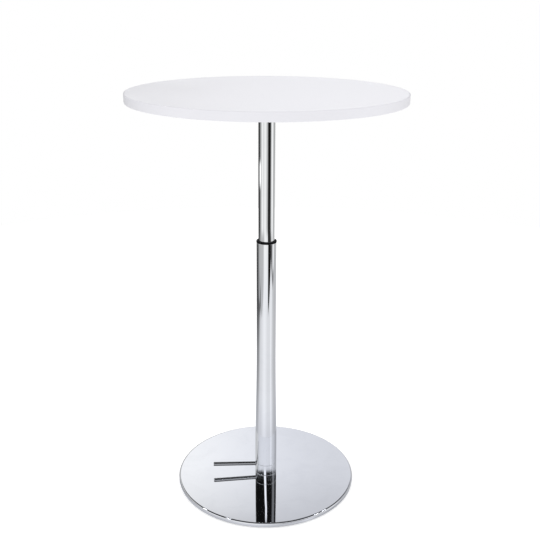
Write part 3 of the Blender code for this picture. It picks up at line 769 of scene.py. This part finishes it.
# ---------------------------------------------------------------- studio
# The chrome mirrors this room. Bearings are in degrees round the table, 0 towards the camera and
# rising to its right, and elevations in degrees above the horizon. Places on the floor lie across
# to the right and ahead towards the camera, in heights of the point that sees them.
# Levels are brightness, 1 for the white of the background. Those in the four ramps were measured
# on the photo's reflections, turned into linear light, rounded and then thinned out.
FAR_FLOOR = (
    (-180, 0.50), (-132, 0.03), (-116, 0.03), (-95, 0.35), (-60, 1.0), (-46, 0.8),
    (-20, 1.0), (12, 0.5), (22, 0.01), (50, 0.01), (68, 0.75), (88, 1.1), (105, 0.5),
    (135, 0.4), (180, 0.6),
)
NEAR_FLOOR = (
    (-180, 0.9), (-138, 0.35), (-115, 0.08), (-85, 0.5), (-40, 0.55), (-22, 1.0), (14, 0.9),
    (23, 0.01), (46, 0.01), (64, 0.15), (82, 1.0), (104, 0.5), (140, 0.85), (180, 0.95),
)
NEAR_FLOOR_END = (-17.3, -16.4)
SOFTBOX_BEARINGS = (-114.0, -86.0)
SOFTBOX_ELEVATIONS = (-13.5, -11.8)
SOFTBOX_LEVEL = 1.3

SHEET = (
    (-180, 0.75), (-120, 0.66), (-70, 0.76), (-20, 0.95), (20, 0.8), (42, 0.8), (56, 0.97),
    (74, 0.7), (100, 0.55), (130, 0.55), (180, 0.85),
)
SHEET_RIGHT_END = (2.78, 2.86)
SHEET_LEFT_END = (-2.40, -2.48)
SHEET_FRONT_END = (2.46, 2.58)
SHEET_CUT_END = (4.46, 4.58)
RIGHT_LINE = (2.72, 2.88)
LEFT_LINE = (-2.52, -2.40)
CUT_LINE = (4.46, 4.66)
LINE_SOFTNESS = 0.06

WALLS = (
    (-180, 0.5), (-110, 0.72), (-35, 0.87), (0, 0.87), (42, 0.82), (56, 1.0), (74, 0.74),
    (104, 0.64), (120, 0.48), (180, 0.5),
)
CEILING_EDGE = 33.36
CEILING_RAGGEDNESS = 0.16
CEILING_PATCH = (76.0, 112.0)
STRIP_ELEVATIONS = (33.6, 36.4)
STRIP_TOP = (39.0, 37.5)
STRIP_LEVEL = 1.15
REAR_SHADOW_TOP = (28.5, 26.5)
REAR_PANEL_ELEVATIONS = (27.5, 39.7)
LAMPS = ((-100.0, 47.0), (-70.0, 60.5), (87.0, 52.6), (95.0, 47.7))
LAMP_CONE = (math.cos(math.radians(2.8)), math.cos(math.radians(1.6)))
LAMP_LEVEL = 14.0


def surroundings(graph, bearing, elevation):
    """The floor beyond the sheet at two depths, with a low bright softbox at the back left."""
    far = graph.ramp(bearing, -180, 180, FAR_FLOOR)
    near = graph.ramp(bearing, -180, 180, NEAR_FLOOR)
    level = graph.mix(graph.smooth(elevation, *NEAR_FLOOR_END), near, far)
    on_side = graph.between(bearing, *SOFTBOX_BEARINGS, 6.0)
    on_level = graph.between(elevation, *SOFTBOX_ELEVATIONS, 0.35)
    return graph.mix(graph.times(on_side, on_level), level, SOFTBOX_LEVEL)


def sheet_light(graph, bearing, elevation, across, ahead):
    """The white sheet: dark at the back left and a little darker close to the table."""
    depth = graph.math("MULTIPLY_ADD", ahead, -0.6, graph.times(across, -1.0))
    lit = graph.step(depth, 1.6, 3.0, 1.0, 0.12)
    close = graph.step(elevation, -27.0, -30.0, 1.0, 0.90)
    return graph.times(graph.ramp(bearing, -180, 180, SHEET), lit, close)


def floor_light(graph, bearing, elevation, right, toward, up):
    """What the chrome sees below the horizon: a white sheet on a floor with dark surroundings."""
    drop = graph.math("MAXIMUM", graph.times(up, -1.0), 0.02)
    across = graph.math("DIVIDE", right, drop)
    ahead = graph.math("DIVIDE", toward, drop)
    flank = graph.math("MULTIPLY_ADD", ahead, 0.2, across)
    front = graph.math("MULTIPLY_ADD", across, 0.3, ahead)
    corner = graph.math("MULTIPLY_ADD", across, -1.6, ahead)
    off_sheet = graph.smooth(flank, *SHEET_RIGHT_END)
    off_sheet = graph.math("MAXIMUM", off_sheet, graph.smooth(across, *SHEET_LEFT_END))
    off_sheet = graph.math("MAXIMUM", off_sheet, graph.smooth(front, *SHEET_FRONT_END))
    off_sheet = graph.math("MAXIMUM", off_sheet, graph.smooth(corner, *SHEET_CUT_END))
    sheet = sheet_light(graph, bearing, elevation, across, ahead)
    level = graph.mix(off_sheet, sheet, surroundings(graph, bearing, elevation))

    # the shadow under the sheet's long edges and its cut corner
    right_line = graph.between(flank, *RIGHT_LINE, LINE_SOFTNESS)
    right_line = graph.times(right_line, graph.smooth(ahead, -1.6, 1.4), 0.85)
    left_line = graph.between(across, *LEFT_LINE, LINE_SOFTNESS)
    left_line = graph.times(left_line, graph.smooth(ahead, 1.5, 0.6), 0.8)
    cut_line = graph.between(corner, *CUT_LINE, LINE_SOFTNESS)
    cut_line = graph.times(cut_line, graph.between(bearing, -88.0, -68.0, 4.0), 0.8)
    level = graph.mix(right_line, level, 0.08)
    level = graph.mix(left_line, level, 0.06)
    level = graph.mix(cut_line, level, 0.08)

    # the table's own shade on the floor round its foot
    return graph.times(level, graph.step(elevation, -33.0, -42.0, 1.0, 0.45))


def ceiling_light(graph, bearing, elevation):
    """Unlit ceiling with one upright strip of daylight and a dim patch at the right."""
    level = graph.step(elevation, 50.0, 90.0, 0.006, 0.04)
    level = graph.mix(graph.between(bearing, *CEILING_PATCH, 9.0), level, 0.19)
    level = graph.math("ADD", level, graph.step(bearing, -138.0, -172.0, 0.0, 0.14))
    centre = graph.span(elevation, *STRIP_ELEVATIONS, -9.0, 4.0)
    width = graph.span(elevation, *STRIP_ELEVATIONS, 11.0, 9.0)
    aside = graph.math("ABSOLUTE", graph.math("SUBTRACT", bearing, centre))
    inside = graph.smooth(graph.math("SUBTRACT", aside, width), 3.0, -3.0)
    return graph.mix(graph.times(inside, graph.smooth(elevation, *STRIP_TOP)), level, STRIP_LEVEL)


def rear_wall(graph, level, elevation, sideways, toward):
    """The wall behind the table: low down it is in shadow at the left, and higher up it is lit."""
    behind = graph.smooth(toward, 0.0, -0.1)
    low = graph.times(behind, graph.between(sideways, -0.30, 0.30, 0.03))
    low = graph.times(low, graph.smooth(elevation, *REAR_SHADOW_TOP))
    level = graph.mix(low, level, graph.step(sideways, -0.16, 0.02, 0.05, 0.70))

    # the lit part is brighter to the left and lower down
    panel = graph.times(behind, graph.between(sideways, -0.17, 0.17, 0.03))
    panel = graph.times(panel, graph.between(elevation, *REAR_PANEL_ELEVATIONS, 1.2))
    glow = graph.step(sideways, -0.14, 0.12, 1.02, 0.76)
    fade = graph.step(elevation, 32.5, 37.0, 1.0, 0.80)
    top_edge = graph.step(sideways, -0.10, 0.05, 0.80, 0.95)
    top_fade = graph.mix(graph.smooth(elevation, 35.6, 37.2), 1.0, top_edge)
    return graph.mix(panel, level, graph.times(glow, fade, top_fade))


def with_lamps(graph, level, direction):
    """Pin-sharp lamps that sparkle along the rim of the base."""
    for bearing, elevation in LAMPS:
        aim = studio_direction(bearing, elevation)
        near = graph.smooth(graph.dot(direction, aim), *LAMP_CONE)
        level = graph.mix(near, level, LAMP_LEVEL)
    return level


def wall_light(graph, bearing, elevation, sideways, toward, direction):
    """What the chrome sees above the horizon: light walls, then the ceiling from its edge up."""
    walls = graph.ramp(bearing, -180, 180, WALLS)
    ragged = graph.noise(graph.add("ShaderNodeCombineXYZ", {0: bearing}), 0.11, 3.0)
    low, high = CEILING_EDGE - CEILING_RAGGEDNESS, CEILING_EDGE + CEILING_RAGGEDNESS
    above_edge = graph.math("SUBTRACT", elevation, graph.span(ragged, 0.3, 0.7, low, high))
    over = graph.smooth(above_edge, -0.08, 0.08)
    level = graph.mix(over, walls, ceiling_light(graph, bearing, elevation))
    level = rear_wall(graph, level, elevation, sideways, toward)
    return with_lamps(graph, level, direction)


def studio_tint(graph, elevation, sideways, toward):
    """Cool light, but nearly neutral from some bands of the floor and from the back left wall."""
    cool = graph.math("ADD", graph.smooth(elevation, -15.0, -22.0), graph.smooth(elevation, -24.0, -31.0))
    above = graph.smooth(elevation, 0.0, 12.0)
    cool = graph.math("MAXIMUM", graph.times(cool, 0.5), above)
    neutral = graph.times(graph.smooth(toward, 0.0, -0.1), above, graph.smooth(sideways, 0.06, -0.16))
    cool = graph.times(cool, graph.span(neutral, 0.0, 1.0, 1.0, 0.35))
    return graph.mix_colour(cool, rgb(1.0, 1.005, 1.0), rgb(0.965, 0.985, 1.06))


def sideways_of(graph, right, toward):
    """Sine of the bearing, whatever the elevation: -1 at the left, 0 ahead or behind, 1 at the right."""
    squares = graph.math("ADD", graph.math("POWER", right, 2.0), graph.math("POWER", toward, 2.0))
    return graph.math("DIVIDE", right, graph.math("SQRT", squares))


def studio_direction(bearing, elevation):
    """Direction from the table towards a bearing and an elevation."""
    angle = math.radians(bearing)
    level = math.cos(math.radians(elevation))
    toward = Vector((math.sin(CAMERA_BEARING), -math.cos(CAMERA_BEARING), 0.0))
    right = Vector((math.cos(CAMERA_BEARING), math.sin(CAMERA_BEARING), 0.0))
    flat = toward * math.cos(angle) + right * math.sin(angle)
    return tuple(flat * level + Vector((0, 0, math.sin(math.radians(elevation)))))


def make_world():
    """White for the camera, even soft light for matt surfaces, and the studio for the chrome."""
    world = bpy.data.worlds.new("studio")
    bpy.context.scene.world = world
    world.use_nodes = True
    world.cycles.sampling_method = "NONE"
    graph = Graph(world.node_tree)
    direction = graph.add("ShaderNodeTexCoord", output="Generated")
    toward = graph.dot(direction, studio_direction(0.0, 0.0))
    right = graph.dot(direction, studio_direction(90.0, 0.0))
    up = graph.dot(direction, (0.0, 0.0, 1.0))
    sideways = sideways_of(graph, right, toward)
    bearing = graph.math("DEGREES", graph.math("ARCTAN2", right, toward))
    elevation = graph.math("DEGREES", graph.math("ARCSINE", up))
    below = floor_light(graph, bearing, elevation, right, toward, up)
    above = wall_light(graph, bearing, elevation, sideways, toward, direction)
    level = graph.mix(graph.smooth(elevation, -1.5, 6.0), below, above)
    tint = studio_tint(graph, elevation, sideways, toward)
    studio = graph.add("ShaderNodeVectorMath", {0: tint, "Scale": level}, operation="SCALE")
    rays = world.node_tree.nodes.new("ShaderNodeLightPath").outputs
    soft = graph.mix_colour(graph.smooth(up, -0.3, 0.6), rgb(0.97, 0.97, 0.98), rgb(1.12, 1.12, 1.12))
    seen = graph.mix_colour(rays["Is Diffuse Ray"], studio, soft)
    seen = graph.mix_colour(rays["Is Camera Ray"], seen, rgb(1.0, 1.0, 1.0))
    graph.set(world.node_tree.nodes["Background"].inputs["Color"], seen)


def make_floor():
    """Pale round floor, softly dished at its rim so that no edge shows."""
    radius = 3.0
    outline = [(0, -0.004), (radius, -0.004), (radius, -0.002), (0.6, 0.0), (0, 0.0)]
    material, graph, shader, place = new_material("looks_floor", specular=0.0)
    speckle = graph.noise(place, 40.0, 3.0)
    colour = graph.mix_colour(speckle, rgb(0.90, 0.90, 0.90), rgb(0.93, 0.93, 0.93))
    graph.set(shader.inputs["Base Color"], colour)
    graph.set(shader.inputs["Roughness"], graph.span(speckle, 0.3, 0.7, 0.85, 0.95))
    shader.inputs["Emission Color"].default_value = rgb(1.0, 1.0, 1.0)
    shader.inputs["Emission Strength"].default_value = 0.32
    floor = finished(to_object("studio_floor", turned(outline, SMALL_SEGMENTS), material))
    floor.visible_glossy = False


def make_camera():
    data = bpy.data.cameras.new("camera")
    data.lens = CAMERA_LENS
    data.sensor_width = CAMERA_SENSOR
    camera = bpy.data.objects.new("camera", data)
    bpy.context.scene.collection.objects.link(camera)
    toward = Vector(studio_direction(0.0, 0.0))
    camera.location = toward * CAMERA_DISTANCE + Vector((0, 0, CAMERA_HEIGHT))
    turn = Matrix.Rotation(CAMERA_BEARING - CAMERA_YAW, 4, "Z")
    tip = Matrix.Rotation(math.pi / 2 - CAMERA_PITCH, 4, "X")
    camera.rotation_euler = (turn @ tip @ Matrix.Rotation(CAMERA_ROLL, 4, "Z")).to_euler()
    bpy.context.scene.camera = camera


def build():
    materials = make_materials()
    make_top(materials)
    make_flange(materials)
    make_upper_tube(materials)
    make_lower_tube(materials)
    make_socket(materials)
    make_base(materials)
    make_lever(materials)
    dress_cad_nodes(materials)
    make_floor()
    make_world()
    make_camera()
    bpy.context.scene.view_settings.view_transform = "Standard"


build()
